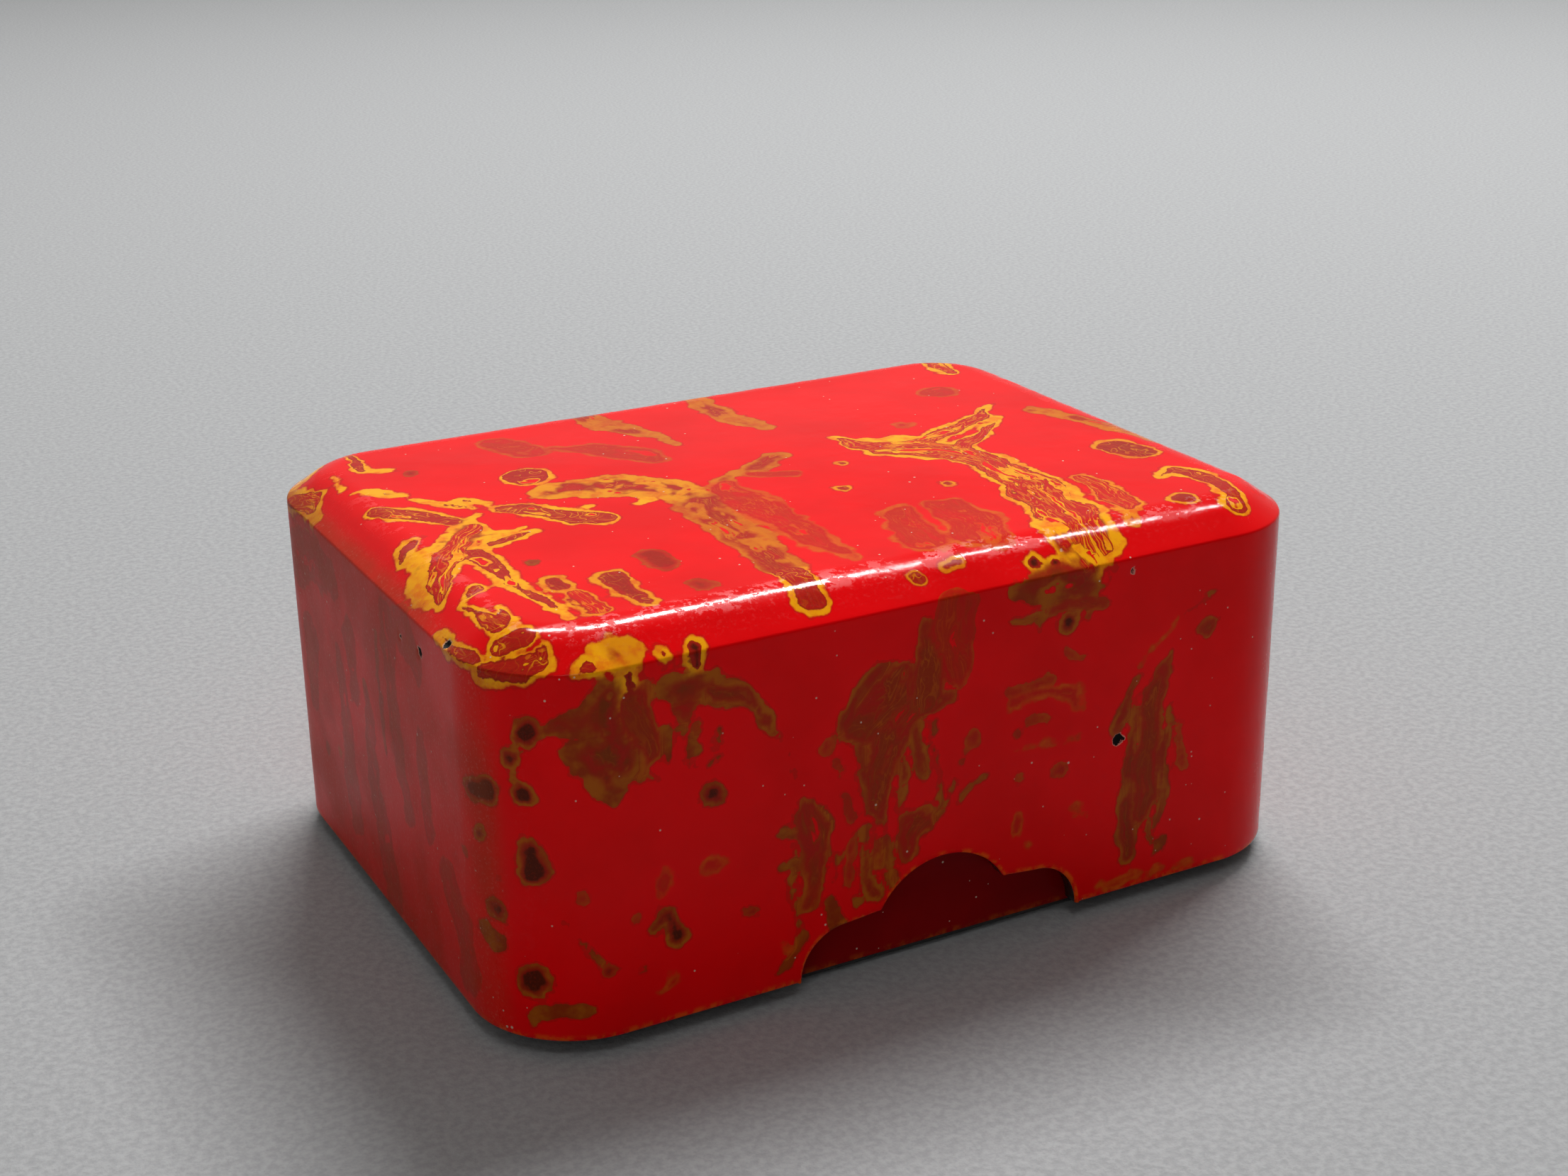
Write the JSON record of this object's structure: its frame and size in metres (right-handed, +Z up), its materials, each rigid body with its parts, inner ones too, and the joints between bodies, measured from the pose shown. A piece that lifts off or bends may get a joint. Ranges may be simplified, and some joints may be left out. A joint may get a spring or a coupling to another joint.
{
  "type": "lacquered ink and brush box",
  "caption": "Low rectangular lacquered writing box with a deep lift-off lid, finger notches, a lift-out tray, inkstone, water dropper, ink stick and brushes.",
  "frame": {"origin": "on the table, under the middle of the box", "axes": "+X along the box's length, +Y from the front, with the notch usually seen, to the back, +Z up"},
  "size_m": [0.152, 0.1154, 0.0689],
  "materials": {
    "lid_lacquer": "high gloss marbled red and ochre lacquer",
    "box_lacquer": "high gloss red lacquer outside, black inside",
    "black_lacquer": "satin black lacquer",
    "bare_peg": "split bamboo",
    "seat_lacquer": "satin black lacquer",
    "slate": "fine honed dark slate",
    "bronze": "dark patinated bronze",
    "ink": "pressed soot ink, dull black",
    "bamboo": "polished bamboo",
    "horn": "polished dark horn",
    "hair": "glued pale brush hair",
    "cap_bamboo": "thin turned bamboo cap"
  },
  "bodies": {
    "box": {"box_floor_board": "black_lacquer", "box_front_wall": "box_lacquer", "box_back_wall": "box_lacquer", "box_left_wall": "box_lacquer", "box_right_wall": "box_lacquer", "box_corner_posts": "box_lacquer", "box_floor_pegs": "bare_peg", "tray_ledge_left": "black_lacquer", "tray_ledge_right": "black_lacquer"},
    "lid": {"lid_top_board": "lid_lacquer", "lid_front_wall": "lid_lacquer", "lid_back_wall": "lid_lacquer", "lid_left_wall": "lid_lacquer", "lid_right_wall": "lid_lacquer", "lid_corner_posts": "lid_lacquer", "lid_pegs": "bare_peg"},
    "seat": {"seat_board": "seat_lacquer"},
    "stone": {"inkstone": "slate"},
    "dropper": {"dropper_body": "bronze", "dropper_top": "bronze", "dropper_spout": "bronze"},
    "tray": {"tray_floor_board": "black_lacquer", "tray_front_wall": "black_lacquer", "tray_back_wall": "black_lacquer", "tray_left_wall": "black_lacquer", "tray_right_wall": "black_lacquer", "tray_corner_posts": "black_lacquer", "brush_partition": "black_lacquer", "ink_partition": "black_lacquer", "brush_rest_left": "black_lacquer", "brush_rest_right": "black_lacquer"},
    "ink": {"ink_stick": "ink"},
    "front_brush": {"front_brush_handle": "bamboo", "front_brush_collar": "horn", "front_brush_tip": "hair"},
    "rear_brush": {"rear_brush_handle": "bamboo", "rear_brush_collar": "horn", "rear_brush_tip": "hair"},
    "front_cap": {"front_brush_cap": "cap_bamboo"},
    "rear_cap": {"rear_brush_cap": "cap_bamboo"}
  },
  "joints": [
    {"name": "lid_lift", "type": "slide", "parent": "box", "child": "lid", "axis": [0, 0, 1], "range_m": [0, 0.16]},
    {"name": "seat_lift", "type": "slide", "parent": "box", "child": "seat", "axis": [0, 0, 1], "range_m": [0, 0.064]},
    {"name": "stone_lift", "type": "slide", "parent": "box", "child": "stone", "axis": [0, 0, 1], "range_m": [0, 0.08]},
    {"name": "dropper_lift", "type": "slide", "parent": "box", "child": "dropper", "axis": [0, 0, 1], "range_m": [0, 0.08]},
    {"name": "tray_lift", "type": "slide", "parent": "box", "child": "tray", "axis": [0, 0, 1], "range_m": [0, 0.08]},
    {"name": "ink_lift", "type": "slide", "parent": "tray", "child": "ink", "axis": [0, 0, 1], "range_m": [0, 0.0288]},
    {"name": "front_brush_lift", "type": "slide", "parent": "tray", "child": "front_brush", "axis": [0, 0, 1], "range_m": [0, 0.0288]},
    {"name": "rear_brush_lift", "type": "slide", "parent": "tray", "child": "rear_brush", "axis": [0, 0, 1], "range_m": [0, 0.0288]},
    {"name": "front_cap_pull", "type": "slide", "parent": "front_brush", "child": "front_cap", "axis": [1, 0, 0], "range_m": [0, 0.0215]},
    {"name": "rear_cap_pull", "type": "slide", "parent": "rear_brush", "child": "rear_cap", "axis": [1, 0, 0], "range_m": [0, 0.0215]}
  ],
  "couplings": [
    {"joint": "seat_lift", "follows": "lid_lift", "ratio": 0.4},
    {"joint": "stone_lift", "follows": "lid_lift", "ratio": 0.5},
    {"joint": "dropper_lift", "follows": "lid_lift", "ratio": 0.5},
    {"joint": "tray_lift", "follows": "lid_lift", "ratio": 0.5},
    {"joint": "ink_lift", "follows": "lid_lift", "ratio": 0.18},
    {"joint": "front_brush_lift", "follows": "lid_lift", "ratio": 0.18},
    {"joint": "rear_brush_lift", "follows": "lid_lift", "ratio": 0.18}
  ]
}
